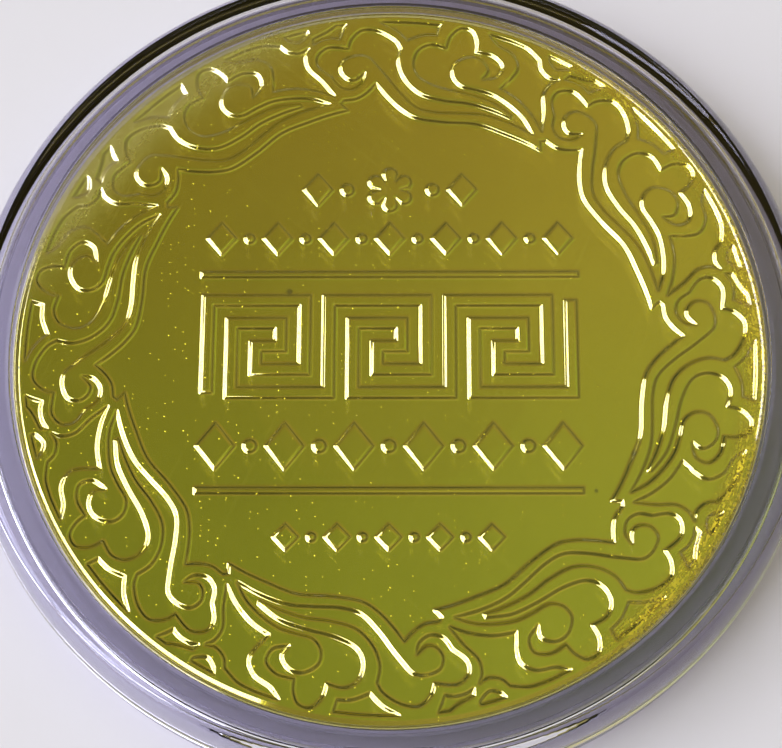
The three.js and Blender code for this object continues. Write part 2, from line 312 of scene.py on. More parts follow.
# %% [markdown]
# Gilt plate is nearly a perfect mirror. What tells it from a flat yellow is small:
# tiny bumps that glint, hairlines from wiping, a little dust, a slight haze that is
# thicker at the upper left, where a paler tone is also painted in as a reflected veil,
# and a frosted, grainy band at the right of the rim. They could be painted on an image,
# but nodes stay sharp at any size. Three helpers make the patterns: soft noise, noise
# drawn out into lines, and the cells of a Voronoi texture with a small dome in some of
# them. Below, a pair called NOISE is a scale and a detail, and a pair called STEP is
# the two values that a smooth step lies between.

# %% Helpers for surface patterns
HAIRLINE_STRETCH = 0.012
HAIRLINE_CUT = (0.66, 0.72)


def noise(tree, scale, detail, vector):
    """Soft noise from 0 to 1, with its scale in waves for each millimetre."""
    return tree.add("ShaderNodeTexNoise", None, {"Vector": vector, "Scale": scale, "Detail": detail})


def hairlines(tree, vector, angle, scale):
    """Thin straight lines at one angle, 1 on a line and 0 between."""
    turned = tree.add("ShaderNodeVectorRotate", {"rotation_type": "Z_AXIS"}, {
        "Vector": vector, "Angle": math.radians(angle)})
    drawn_out = tree.add("ShaderNodeVectorMath", {"operation": "MULTIPLY"}, {
        0: turned, 1: (scale, scale * HAIRLINE_STRETCH, 1)})
    return between(tree, noise(tree, 1.0, 1.0, drawn_out), *HAIRLINE_CUT)


def specks(tree, vector, scale, share, size):
    """Small round domes in a share of the cells, 1 at the middle and 0 outside."""
    flat, near = {"voronoi_dimensions": "2D"}, {"Vector": vector, "Scale": scale}
    distance = tree.add("ShaderNodeTexVoronoi", flat, near, out="Distance")
    cell = tree.add("ShaderNodeTexVoronoi", flat, near, out="Color")
    chosen = tree.add("ShaderNodeSeparateColor", None, {"Color": cell}, out="Red")
    return between(tree, distance, size * scale, 0) * between(tree, chosen, share, share - 0.01)


def in_millimetres(tree):
    """A place on the piece, in millimetres."""
    place = tree.add("ShaderNodeTexCoord", out="Object")
    return tree.add("ShaderNodeVectorMath", {"operation": "SCALE"}, {0: place, "Scale": 1 / MM})


# %% [markdown]
# First come the masks, which say where each kind of wear is. Frost lies at the right
# of the rim, in patches, and a haze at its upper left. That haze's mask also says where
# a painted reflection, a pale veil, lightens the tone. Both keep to the medal's face.

# %% Where the gilt is worn
FROST_RADII, FROST_FROM_X = (20.7, 21.7), (8.0, 15.0)
FROST_LEAST, PATCH_NOISE, PATCH_STEP = 0.45, (0.16, 2.0), (0.42, 0.68)
MIST_RADII, MIST_FROM_UPPER_LEFT = (17.5, 21.0), (22.0, 30.0)
FACE_FROM_Z = (MEDAL_TOP - 0.5, MEDAL_TOP - 0.3)
MIDDLE_OF_RIM, STREAKS_ACROSS = 22.0, 7.0
STREAK_NOISE, GRAIN_NOISE, FLECK_STEP = (1.0, 1.0), (6.0, 1.0), (0.5, 0.58)
# scratches: angle in degrees and lines in a millimetre; dust: place and radius
SCRATCHES = [(24, 4.0), (-51, 3.1)]
DUST = [((-6.04, 3.8, 0), 0.36), ((14.35, -6.37, 0), 0.32), ((12.1, -8.6, 0), 0.26)]
DUST_NOISE, DUST_UNEVEN, DUST_CORE, DUST_DARKNESS = (5.0, 2.0), 0.15, 0.4, 0.8

gilt, tree = material("gilt")
mm = in_millimetres(tree)
flat_mm = tree.add("ShaderNodeVectorMath", {"operation": "MULTIPLY"}, {0: mm, 1: (1, 1, 0)})
radius = tree.add("ShaderNodeVectorMath", {"operation": "LENGTH"}, {0: flat_mm}, out="Value")
x, y = coordinate(tree, mm, "X"), coordinate(tree, mm, "Y")
on_face = between(tree, coordinate(tree, mm, "Z"), *FACE_FROM_Z)
patches = between(tree, noise(tree, *PATCH_NOISE, mm), *PATCH_STEP, FROST_LEAST, 1)
frost = on_face * between(tree, radius, *FROST_RADII) * between(tree, x, *FROST_FROM_X) * patches
# The upper left's mask: real haze and grain, and also where the painted reflection, a pale veil, goes.
mist_and_painted_veil = on_face * between(tree, radius, *MIST_RADII) * between(tree, y - x, *MIST_FROM_UPPER_LEFT)
along_rim = y.maths("ARCTAN2", y, x) * MIDDLE_OF_RIM
round_rim = tree.add("ShaderNodeCombineXYZ", None, {"X": radius * STREAKS_ACROSS, "Y": along_rim})
streaks = noise(tree, *STREAK_NOISE, round_rim)
grains = noise(tree, *GRAIN_NOISE, mm)
flecks = between(tree, (streaks + grains) / 2, *FLECK_STEP)
scratches = sum(hairlines(tree, mm, angle, scale) for angle, scale in SCRATCHES)
dust = 0.0
for spot, size in DUST:
    apart = tree.add("ShaderNodeVectorMath", {"operation": "DISTANCE"}, {0: flat_mm, 1: spot}, out="Value")
    edge = apart + noise(tree, *DUST_NOISE, mm) * DUST_UNEVEN
    dust = between(tree, edge, size, size * DUST_CORE, 0, DUST_DARKNESS) + dust
print("frost from radius", FROST_RADII[0], "mist from radius", MIST_RADII[0], "dust spots", len(DUST))

# %% [markdown]
# Then the masks become a height in millimetres for one Bump node, a tone and a haze.
# Each is a sum, so that one kind of wear can be changed without the others. The paler
# tone at the upper left is not wear but a painted reflection, a pale veil. Frosted
# flecks are rough, so they scatter the window's light and shine yellow beside the
# mirror. A thin clear lacquer over the plate gives the window's glints a white core.

# %% The gilt
# specks: cells in a millimetre, share of cells with a speck, its radius, and its height
SPECKS = [((0.9, 0.2, 0.085), 0.022), ((2.1, 0.16, 0.065), 0.016)]
FROST_SPECKS, FROST_SPECK_HEIGHT = (3.4, 0.5, 0.1), 0.03
STREAK_HEIGHT, GRAIN_HEIGHT = 0.025, 0.014
MIST_GRAINS, MIST_SPECKS = 0.5, 0.4
WAVE_NOISE, WAVE_HEIGHT, SCRATCH_DEPTH = (0.5, 2.0), 0.0012, 0.00025
GOLD, DEEP_GOLD = (0.73, 0.655, 0.032, 1), (0.67, 0.60, 0.022, 1)
# The upper left's paler tone, and how far it covers, are a painted reflection: a pale veil, not wear.
FROST_TONE, PAINTED_VEIL_TONE, DUST_TONE = (0.85, 0.62, 0.02, 1), (0.75, 0.72, 0.38, 1), (0.16, 0.12, 0.06, 1)
TONE_NOISE, TONE_STEP = (0.09, 3.0), (0.3, 0.7)
FROST_COVER, PAINTED_VEIL_COVER = 0.6, 0.5
POLISH, SCRATCH_HAZE = 0.055, 0.04
HAZE_NOISE, HAZE_STEP, UNEVEN_HAZE = (0.3, 4.0), (0.35, 0.75), 0.05
FROST_HAZE, FROST_FLECKS = 0.1, 0.5
MIST_HAZE, MIST_FLECKS = 0.22, 0.05
COAT_ROUGHNESS, COAT_IOR = 0.03, 2.42

bumps = noise(tree, *WAVE_NOISE, mm) * WAVE_HEIGHT - scratches * SCRATCH_DEPTH
bumps = bumps + sum(specks(tree, mm, *kind) * height for kind, height in SPECKS)
bumps = bumps + frost * streaks * STREAK_HEIGHT + (frost + mist_and_painted_veil * MIST_GRAINS) * grains * GRAIN_HEIGHT
coarse = (frost + mist_and_painted_veil * MIST_SPECKS) * specks(tree, mm, *FROST_SPECKS)
bumps = bumps + coarse * FROST_SPECK_HEIGHT
relief = tree.add("ShaderNodeBump", None, {"Strength": 1.0, "Distance": MM, "Height": bumps})
tone = tinted(tree, between(tree, noise(tree, *TONE_NOISE, mm), *TONE_STEP), GOLD, DEEP_GOLD)
tone = tinted(tree, frost * FROST_COVER, tone, FROST_TONE)
# Painted reflection: a paler, greyer tone at the upper left stands in for a pale veil mirrored there.
tone = tinted(tree, mist_and_painted_veil * PAINTED_VEIL_COVER, tone, PAINTED_VEIL_TONE)
tone = tinted(tree, dust, tone, DUST_TONE)
haze = between(tree, noise(tree, *HAZE_NOISE, mm), *HAZE_STEP, POLISH, POLISH + UNEVEN_HAZE)
haze = haze + scratches * SCRATCH_HAZE
haze = haze + frost * (flecks * FROST_FLECKS + FROST_HAZE) + mist_and_painted_veil * (flecks * MIST_FLECKS + MIST_HAZE)
plate = tree.add("ShaderNodeBsdfPrincipled", None, {
    "Base Color": tone, "Metallic": 1.0, "Roughness": haze, "Normal": relief,
    "Coat Weight": 1.0, "Coat Roughness": COAT_ROUGHNESS, "Coat IOR": COAT_IOR})
tree.add("ShaderNodeOutputMaterial", None, {"Surface": plate})
print("nodes in", gilt.name, len(gilt.node_tree.nodes))

# %% [markdown]
# The capsule is clear moulded plastic. It bends light as glass does. Real light gets
# through it to the medal by bending, which takes a renderer very long to find, so a
# Mix with a Transparent shader lets the lamps' shadow rays go straight through. Faint
# wiping marks keep it from looking like nothing. The base also darkens with depth and
# turns a little violet, as its rim does in the photograph. That absorption is painted
# shade, which stands in for the dark that shows through the rim.

# %% Clear plastic
PLASTIC_IOR = 1.49
PLASTIC_COLOUR = (0.955, 0.95, 0.985, 1)
SHADOW_COLOUR = (0.8, 0.78, 0.83, 1)
# Painted shade: the base's plastic absorbs with depth and turns violet, for the dark seen through its rim.
BASE_SHADE_DENSITY = 270.0
BASE_SHADE_TINT = (0.58, 0.56, 0.61, 1)
WIPING_MARKS, MARK_HAZE = [(-38, 2.2), (67, 1.9)], 0.03
PLASTIC_NOISE, PLASTIC_STEP = (0.2, 3.0), (0.45, 0.8)
PLASTIC_POLISH, PLASTIC_UNEVEN = 0.004, 0.006


def plastic(name, density):
    """Clear moulded plastic, which darkens with depth where it has a density, as painted shade."""
    made, tree = material(name)
    mm = in_millimetres(tree)
    marks = sum(hairlines(tree, mm, angle, scale) for angle, scale in WIPING_MARKS)
    uneven = between(tree, noise(tree, *PLASTIC_NOISE, mm), *PLASTIC_STEP, 0, PLASTIC_UNEVEN)
    smooth = PLASTIC_POLISH + marks * MARK_HAZE + uneven
    body = tree.add("ShaderNodeBsdfPrincipled", None, {
        "Base Color": PLASTIC_COLOUR, "Roughness": smooth, "IOR": PLASTIC_IOR, "Transmission Weight": 1.0})
    shade = tree.add("ShaderNodeBsdfTransparent", None, {"Color": SHADOW_COLOUR})
    for_lamps = tree.add("ShaderNodeLightPath", out="Is Shadow Ray")
    both = tree.add("ShaderNodeMixShader", None, {0: for_lamps, 1: body, 2: shade})
    ends = {"Surface": both}
    # Painted shade: a violet absorption that darkens the base's plastic with depth.
    if density:
        depth = {"Color": BASE_SHADE_TINT, "Density": density}
        ends["Volume"] = tree.add("ShaderNodeVolumeAbsorption", None, depth)
    tree.add("ShaderNodeOutputMaterial", None, ends)
    return made


clear_lid = plastic("clear_lid_plastic", 0)
clear_base = plastic("clear_base_plastic", BASE_SHADE_DENSITY)
print("materials:", gilt.name, clear_lid.name, clear_base.name, floor_paint.name)

# %% [markdown]
# The border is eight like cloud scrolls. A line drawing of one scroll is enough: each
# line is the middle of the sloping wall round one sunk area. The lines are smooth
# strokes that meet at corners, drawn once for the scroll at the top of the medal. A
# stroke starts where the one before it ended, so only its other points are written.

# %% The drawing of one scroll
SCROLLS = 8
EIGHTH = 2 * math.pi / SCROLLS
RIM_INNER = 21.75


def on_rim(x):
    """A place on the rim's inner edge."""
    return (x, math.sqrt(RIM_INNER ** 2 - x ** 2))


def turned(points, scrolls):
    """Places as they lie some scrolls further anticlockwise."""
    a = EIGHTH * scrolls
    return np.array(points) @ np.array([[math.cos(a), math.sin(a)], [-math.sin(a), math.cos(a)]])


def next_scroll(x, y):
    """A place as it lies in the next scroll."""
    return tuple(turned((x, y), 1))


cloud_inside = [
    # tail to the neck of the small curl
    [(8.72, 14.08), (7.3, 14.85), (5.8, 15.37), (4.3, 15.5), (2.8, 15.57), (1.6, 15.92), (0.6, 16.9),
     (-0.22, 18.0), (-0.82, 18.75)],
    # round the small curl's head
    [(-1.4, 19.35), (-2.15, 19.45), (-2.95, 19.1), (-3.12, 18.4), (-2.75, 17.88),
     (-2.2, 17.77), (-1.62, 18.25)],
    # lower, left and upper lobes of the small cloud
    [(-1.75, 17.6), (-2.4, 17.15), (-3.15, 17.32), (-3.65, 17.98)],
    [(-4.45, 18.6), (-4.58, 19.35), (-3.9, 19.98), (-2.65, 19.92)],
    [(-2.42, 20.6), (-1.75, 21.2), (-0.75, 21.1), (0.25, 20.5), (0.63, 19.9)],
    # out along the rib between the clouds and back
    [(0.48, 18.9), (0.9, 17.75), (1.85, 16.8), (3.3, 16.35), (4.8, 16.15), (6.2, 15.7),
     (7.4, 15.15)],
    [(7.45, 15.35)],
    [(6.3, 16.25), (4.8, 16.8), (3.1, 17.25), (1.85, 17.9), (1.43, 18.8), (1.7, 19.75),
     (2.5, 20.18), (3.48, 19.95)],
    # upper and right lobes of the large cloud
    [(3.75, 20.75), (4.4, 21.3), (5.1, 21.1), (5.38, 20.4), (5.35, 19.68)],
    [(6.35, 19.4), (6.95, 18.7), (6.6, 17.95), (5.7, 17.78)],
    # round the large curl's head and out along the tail
    [(6.08, 18.4), (5.65, 19.12), (4.85, 19.32), (4.0, 18.85), (3.85, 18.05), (4.35, 17.35),
     (5.4, 17.05), (6.4, 16.68), (7.4, 15.95), (8.2, 15.1), (8.72, 14.08)],
]
pocket_between_lobes = [
    [on_rim(-0.6), (0.35, 21.2), (1.05, 20.5)],
    [(2.0, 20.85), (2.9, 20.87)],
    [on_rim(3.1)],
    [on_rim(1.8), on_rim(0.6), on_rim(-0.6)],
]
pocket_left_of_cloud = [
    [on_rim(-2.85), (-3.05, 21.05), (-3.2, 20.6)],
    [(-3.75, 20.66), (-4.4, 20.5), (-4.85, 20.22)],
    [(-4.85, 20.6)],
    [(-4.15, 20.98), (-3.75, 21.25), on_rim(-3.5)],
    [on_rim(-2.85)],
]
valley_between_clouds = [
    [(-3.5, 16.68), (-4.25, 17.65), (-5.1, 18.5), (-5.32, 19.3), (-5.15, 19.9)],
    [(-5.7, 19.6), (-6.4, 19.66), (-6.9, 20.05)],
    [(-8.0, 20.1), on_rim(-9.1)],
    [on_rim(-9.7), next_scroll(6.22, 20.84)],
    [next_scroll(6.7, 20.15), next_scroll(7.65, 19.45),
     next_scroll(7.9, 18.4), next_scroll(6.85, 17.15)],
    [next_scroll(7.9, 16.4), next_scroll(8.75, 15.35), (-3.5, 16.68)],
]
pocket_in_half_disc = [
    [on_rim(-5.25), (-5.25, 20.85), (-5.75, 20.35), (-6.35, 20.45), on_rim(-6.65)],
    [on_rim(-5.95), on_rim(-5.25)],
]
field_edge = [
    [next_scroll(9.23, 12.98), (-3.05, 16.15)],
    [(-2.85, 16.38)],
    [(-2.1, 16.5), (-1.5, 16.88), (-0.9, 17.5)],
    [(-0.15, 16.55), (0.65, 15.75), (1.6, 15.18), (3.3, 14.9), (5.3, 14.75), (7.1, 14.05),
     (8.3, 13.5), (9.23, 12.98)],
]

# %% Smooth strokes through the drawing's points
STROKE_STEPS = 8


def smooth_stroke(points):
    """Points on a curve that passes through all the given ones."""
    p = np.array(points)
    before = np.vstack([p[:1], p[:-2]])
    after = np.vstack([p[2:], p[-1:]])
    t = np.arange(STROKE_STEPS)[:, None, None] / STROKE_STEPS
    start, end = p[:-1], p[1:]
    leave, arrive = (end - before) / 2, (after - start) / 2
    curve = ((2 * start - 2 * end + leave + arrive) * t ** 3
             + (3 * end - 3 * start - 2 * leave - arrive) * t ** 2 + leave * t + start)
    return curve.transpose(1, 0, 2).reshape(-1, 2)


def drawn(strokes):
    """One line through all the strokes. Each starts where the one before it ended."""
    starts = [[]] + [stroke[-1:] for stroke in strokes]
    curves = [smooth_stroke(start + stroke) for start, stroke in zip(starts, strokes)]
    return np.vstack(curves + [np.array(strokes[-1][-1:])])


scroll_lines = [drawn(s) for s in (cloud_inside, pocket_between_lobes, pocket_left_of_cloud,
                                   valley_between_clouds, pocket_in_half_disc, field_edge)]
print("lines of one scroll:", len(scroll_lines), "with", sum(len(s) for s in scroll_lines), "points")

# %% [markdown]
# A mirror shows every dent, so the walls can't come from a coarse grid. The way here
# is the one that map makers use. First a grid of distances to the nearest drawn line
# is worked out, positive on raised ground. Its level lines, at a few distances
# through the wall, are then exact smooth lines beside the drawing, and a triangle
# net through them has fine strips on the walls and large flat triangles elsewhere.
#
# A Sheet holds such a grid. Its rows and columns may be straight, for the middle of
# the medal, or radii and angles, for one eighth of the border.

# %% A sheet of distances
REACH, SPARE_ROOM = 0.3, 1.6
TINY = 1e-12
JUST_INSIDE = 1.001


class Sheet:
    """A grid of signed distances to drawn lines, with a way to and from its cells."""

    def __init__(self, rows, columns, to_xy, from_xy):
        self.rows, self.columns = rows, columns
        self.to_xy, self.from_xy = to_xy, from_xy
        i, j = np.mgrid[0:rows, 0:columns]
        self.x, self.y = to_xy(i.astype(float), j.astype(float))
        self.distance = np.full((rows, columns), REACH)
        self.odd = np.zeros((rows, columns), bool)

    def draw(self, line):
        """Takes one line into the grid: its distance, and which side is inside."""
        i, j = self.from_xy(line[:, 0], line[:, 1])
        cell = np.hypot(self.x[1, 0] - self.x[0, 0], self.y[1, 0] - self.y[0, 0])
        margin = REACH / cell * SPARE_ROOM + 1
        for k in range(len(line) - 1):
            self.measure(line[k], line[k + 1], i[k:k + 2], j[k:k + 2], margin)
            self.flip(i[k:k + 2], j[k:k + 2])

    def measure(self, a, b, i, j, margin):
        """Takes in the distance to one straight piece, for the cells near it."""
        low_i, high_i = max(0, int(i.min() - margin)), min(self.rows, int(i.max() + margin) + 2)
        low_j, high_j = max(0, int(j.min() - margin)), min(self.columns, int(j.max() + margin) + 2)
        if low_i >= high_i or low_j >= high_j:
            return
        window = (slice(low_i, high_i), slice(low_j, high_j))
        dx, dy = self.x[window] - a[0], self.y[window] - a[1]
        along = b - a
        t = np.clip((dx * along[0] + dy * along[1]) / max(along @ along, TINY), 0, 1)
        d = np.hypot(dx - t * along[0], dy - t * along[1])
        self.distance[window] = np.minimum(self.distance[window], d)

    def flip(self, i, j):
        """Cells below the line in their column change sides."""
        first, last = math.ceil(j.min()), math.ceil(j.max())
        for column in range(max(first, 0), min(last, self.columns)):
            row = i[0] + (column - j[0]) * (i[1] - i[0]) / (j[1] - j[0])
            self.odd[:max(0, min(self.rows, math.ceil(row))), column] ^= True

    def settle(self, odd_is_raised):
        """Gives the distances their signs: more than 0 on raised ground."""
        self.signed = np.where(self.odd == odd_is_raised, self.distance, -self.distance)

    def look(self, x, y):
        """The signed distance at any place."""
        i, j = self.from_xy(x, y)
        i = np.clip(i, 0, self.rows - JUST_INSIDE)
        j = np.clip(j, 0, self.columns - JUST_INSIDE)
        a, b = i.astype(int), j.astype(int)
        u, v = i - a, j - b
        s = self.signed
        low = s[a, b] * (1 - v) + s[a, b + 1] * v
        high = s[a + 1, b] * (1 - v) + s[a + 1, b + 1] * v
        return low * (1 - u) + high * u

    def level_lines(self, level):
        """Lines of one signed distance, each an array of x and y."""
        s = self.signed - level
        above = s > 0
        in_row = above[:, 1:] != above[:, :-1]
        in_column = above[1:] != above[:-1]
        count = in_row[:-1].astype(int) + in_row[1:] + in_column[:, :-1] + in_column[:, 1:]
        links = {}
        for i, j in np.argwhere(count).tolist():
            sides = (("row", i, j), ("column", i, j + 1), ("row", i + 1, j), ("column", i, j))
            crossed = [e for e in sides if (in_row if e[0] == "row" else in_column)[e[1], e[2]]]
            if len(crossed) == 4 and (s[i:i + 2, j:j + 2].mean() > 0) == above[i, j]:
                crossed = crossed[1:] + crossed[:1]
            for a, b in zip(crossed[::2], crossed[1::2]):
                links.setdefault(a, []).append(b)
                links.setdefault(b, []).append(a)
        return [self.places(chain, s) for chain in chains(links)]

    def places(self, chain, s):
        """Where the level line crosses the sides of the cells in a chain."""
        cells = []
        for kind, i, j in chain:
            if kind == "row":
                cells.append((i, j + s[i, j] / (s[i, j] - s[i, j + 1])))
            else:
                cells.append((i + s[i, j] / (s[i, j] - s[i + 1, j]), j))
        cells = np.array(cells, float)
        return np.stack(self.to_xy(cells[:, 0], cells[:, 1]), 1)


# %% [markdown]
# The grid gives short links between neighbouring places on a level line. They are
# strung together into whole lines, and a line then loses the points that it doesn't
# need, so that the net stays light.

# %% String links together and thin a line
def chains(links):
    """Follows linked places from the loose ends first, and then round the closed lines."""
    left = {a: list(b) for a, b in links.items()}
    found = []
    for start in [a for a, b in links.items() if len(b) == 1] + list(links):
        chain = [start]
        while left[chain[-1]]:
            here = chain[-1]
            there = left[here].pop()
            left[there].remove(here)
            chain.append(there)
        if len(chain) > 1:
            found.append(chain)
    return found


def thinned(line, tolerance):
    """The line without the points that lie on its chords."""
    keep = np.zeros(len(line), bool)
    keep[[0, -1]] = True
    spans = [(0, len(line) - 1)]
    while spans:
        a, b = spans.pop()
        if b - a < 2:
            continue
        off, chord = line[a + 1:b] - line[a], line[b] - line[a]
        length = math.hypot(*chord)
        if length < TINY:
            apart = np.hypot(off[:, 0], off[:, 1])
        else:
            apart = np.abs(off[:, 0] * chord[1] - off[:, 1] * chord[0]) / length
        worst = int(apart.argmax())
        if apart[worst] > tolerance:
            keep[a + 1 + worst] = True
            spans += [(a, a + 1 + worst), (a + 1 + worst, b)]
    return line[keep]


# %% [markdown]
# One sheet holds an eighth of the border, in radius and angle. Its neighbours' lines
# are drawn in it too, because walls close to a seam belong to both sides.

# %% Fill the border's sheet
CELL = 0.035
FIELD_RADIUS = 14.8
BORDER_OUTER = 22.05
FIRST_ANGLE = math.pi / 2 - EIGHTH / 2
border_rows = round((BORDER_OUTER - FIELD_RADIUS) / CELL) + 1
border_columns = round(BORDER_OUTER * EIGHTH / CELL) + 1
row_step = (BORDER_OUTER - FIELD_RADIUS) / (border_rows - 1)
column_step = EIGHTH / (border_columns - 1)


def border_xy(i, j):
    """The place of a cell, by its row and column."""
    r, a = FIELD_RADIUS + i * row_step, FIRST_ANGLE + j * column_step
    return r * np.cos(a), r * np.sin(a)


def border_cell(x, y):
    """The row and column of a place."""
    return (np.hypot(x, y) - FIELD_RADIUS) / row_step, (np.arctan2(y, x) - FIRST_ANGLE) / column_step


border = Sheet(border_rows, border_columns, border_xy, border_cell)
for scroll in (-1, 0, 1):
    for line in scroll_lines:
        border.draw(turned(line, scroll))
border.settle(odd_is_raised=False)
print("border sheet", border.signed.shape)

# %% [markdown]
# The middle of the medal has two rules, with a squared meander between them, rows of
# lozenges and beads, and a rosette at the top. Each figure is one closed line. A wall
# has its middle on that line, so the figures are drawn a little smaller than they are
# to be at their foot.

# %% Sizes of the ornament
ROUNDED_IN = 0.08
RULE_HALF_LENGTH, RULE_WIDTH = 11.36, 0.5
RULES_Y = (4.87, -8.61)
FRET_PITCH, FRET_STROKE, FRET_UNITS, FRET_Y = 1.45, 0.84, 3, 0.3
FRET_UNIT = [(0, 0), (0, 4), (4, 4), (4, 1), (2, 1), (2, 2), (3, 2), (3, 3), (1, 3), (1, 0)]
FRET_WIDE, FRET_HIGH = 5, 4
# height, number, pitch, half width, half height and bead radius of each row of lozenges
LOZENGE_ROWS = [
    (7.2, 7, 3.4, 0.95, 1.1, 0.36),
    (-5.9, 6, 4.1, 1.2, 1.5, 0.45),
    (-11.4, 5, 3, 0.8, 0.85, 0.32),
]
ROSETTE_Y, PETALS, NOTCH, PETAL = 10.4, 6, 0.75, 1.5
TOP_BEAD_X, TOP_BEAD, TOP_LOZENGE_X = 2.6, 0.45, 4.4
CIRCLE_STEPS = 48
print("rows of lozenges:", len(LOZENGE_ROWS), "rules:", len(RULES_Y))


# %% Helpers for closed figures
def closed(points):
    """A line that ends where it starts."""
    return np.array(list(points) + [points[0]], float)


def band(line, width):
    """A band of even width along a line with square turns."""
    p = np.array(line, float)
    along = np.diff(p, axis=0)
    along /= np.hypot(along[:, 0], along[:, 1])[:, None]
    side = np.stack([-along[:, 1], along[:, 0]], 1)
    mitre = np.vstack([side[:1], side[:-1] + side[1:], side[-1:]])
    half = (width - 2 * ROUNDED_IN) / 2
    return closed(list(p + mitre * half) + list((p - mitre * half)[::-1]))


def lozenge(x, y, half_width, half_height):
    """A lozenge's four sides."""
    w, h = half_width - ROUNDED_IN, half_height - ROUNDED_IN
    return closed([(x - w, y), (x, y - h), (x + w, y), (x, y + h)])


def round_line(x, y, radius_at):
    """A line round a middle, with its radius at each angle."""
    angles = [2 * math.pi * k / CIRCLE_STEPS for k in range(CIRCLE_STEPS)]
    radii = [radius_at(a) - ROUNDED_IN for a in angles]
    return closed([(x + r * math.sin(a), y + r * math.cos(a)) for r, a in zip(radii, angles)])


def bead(x, y, radius):
    """A circle."""
    return round_line(x, y, lambda a: radius)


def petal_radius(a):
    """The rosette's radius: deep notches between round petals."""
    return NOTCH + (PETAL - NOTCH) * math.sqrt(abs(math.cos(PETALS * a / 2)))


# %% The figures
figures = [band([(-RULE_HALF_LENGTH, y), (RULE_HALF_LENGTH, y)], RULE_WIDTH) for y in RULES_Y]
fret = [(x + k * FRET_WIDE, y) for k in range(FRET_UNITS) for x, y in FRET_UNIT]
fret += [(FRET_UNITS * FRET_WIDE, 0), (FRET_UNITS * FRET_WIDE, FRET_HIGH)]
fret = [((x - FRET_UNITS * FRET_WIDE / 2) * FRET_PITCH, (y - FRET_HIGH / 2) * FRET_PITCH + FRET_Y)
        for x, y in fret]
figures.append(band(fret, FRET_STROKE))
for y, count, pitch, half_width, half_height, bead_radius in LOZENGE_ROWS:
    for k in range(count):
        x = (k - (count - 1) / 2) * pitch
        figures.append(lozenge(x, y, half_width, half_height))
        if k:
            figures.append(bead(x - pitch / 2, y, bead_radius))
figures.append(round_line(0, ROSETTE_Y, petal_radius))
for side in (-1, 1):
    figures.append(bead(side * TOP_BEAD_X, ROSETTE_Y, TOP_BEAD))
    figures.append(lozenge(side * TOP_LOZENGE_X, ROSETTE_Y, *LOZENGE_ROWS[0][3:5]))
print("closed figures in the middle:", len(figures))

# %% Fill the middle's sheet
MIDDLE_HALF = 12.8
middle_cells = round(2 * MIDDLE_HALF / CELL) + 1
middle = Sheet(middle_cells, middle_cells,
               lambda i, j: (j * CELL - MIDDLE_HALF, i * CELL - MIDDLE_HALF),
               lambda x, y: ((y + MIDDLE_HALF) / CELL, (x + MIDDLE_HALF) / CELL))
for line in figures:
    middle.draw(line)
middle.settle(odd_is_raised=True)
print("middle sheet", middle.signed.shape)

# %% [markdown]
# The wall between sunk and raised ground is a straight slope with a soft foot and a
# soft shoulder. wall_height gives its height, from 0 to 1, and wall_steepness its
# slope, so that each vertex gets the true normal of the surface, whatever triangles
# meet there. That is what keeps the flat ground flat in a mirror.

# %% The wall's section
RELIEF, ORNAMENT = 0.17, 0.15
WALL_WIDTH = 0.39
SOFT = 0.45


def wall_height(distance):
    """Height on the wall, from 0 to 1, at a signed distance from its middle."""
    u = np.clip(distance / WALL_WIDTH + 0.5, 0, 1)
    steep = 1 / (1 - SOFT)
    foot = steep * u ** 2 / (2 * SOFT)
    shoulder = 1 - steep * (1 - u) ** 2 / (2 * SOFT)
    return np.where(u < SOFT, foot, np.where(u > 1 - SOFT, shoulder, steep * (u - SOFT / 2)))


def wall_steepness(distance):
    """How fast that height rises there, for each millimetre."""
    u = np.clip(distance / WALL_WIDTH + 0.5, 0, 1)
    return np.clip(np.minimum(u, 1 - u) / SOFT, 0, 1) / (1 - SOFT) / WALL_WIDTH


print(f"walls {RELIEF} and {ORNAMENT} mm high, {WALL_WIDTH} mm wide")

# %% [markdown]
# The net takes the outline and six level lines through each wall as fixed edges, and a
# Delaunay triangulation fills in the rest. Where a line ends on the outline, the
# outline gets a corner, so that both share that point.

# %% The triangle net
LEVELS = (0, SOFT / 2, SOFT, 1 - SOFT, 1 - SOFT / 2, 1)
LINE_TOLERANCE = 0.002
NEARLY = 1e-5


def with_ends(outline, lines):
    """The closed outline, with a corner added wherever a line ends on one of its sides."""
    ends = [end for line in lines for end in (line[0], line[-1])]
    corners = closed(outline)
    fuller = []
    for a, b in zip(corners[:-1], corners[1:]):
        length = math.hypot(*(b - a))
        along = (b - a) / length
        on_side = []
        for end in ends:
            reach, off = (end - a) @ along, (end - a) @ (-along[1], along[0])
            if abs(off) < NEARLY and NEARLY < reach < length - NEARLY:
                on_side.append((reach, tuple(end)))
        fuller += [tuple(a)] + [end for _, end in sorted(on_side)]
    return closed(fuller)


def net(sheet, outline, relief):
    """Triangles inside a closed outline, with fine strips along the sheet's walls."""
    points, edges = [], []
    lines = []
    for level in LEVELS:
        lines += [thinned(line, LINE_TOLERANCE) for line in sheet.level_lines((level - 0.5) * WALL_WIDTH)]
    for line in [with_ends(outline, lines)] + lines:
        whole = math.hypot(*(line[0] - line[-1])) < NEARLY
        body = line[:-1] if whole else line
        first = len(points)
        points += [Vector(p) for p in body]
        edges += [(first + k, first + k + 1) for k in range(len(body) - 1)]
        if whole:
            edges.append((first + len(body) - 1, first))
    found, _, faces, *_ = delaunay_2d_cdt(points, edges, [], 1, NEARLY)
    xy = np.array([tuple(p) for p in found])
    sunk_z = MEDAL_TOP - RELIEF
    z = sunk_z + relief * wall_height(sheet.look(xy[:, 0], xy[:, 1]))
    return [Vector((*p, h)) for p, h in zip(xy.tolist(), z.tolist())], faces


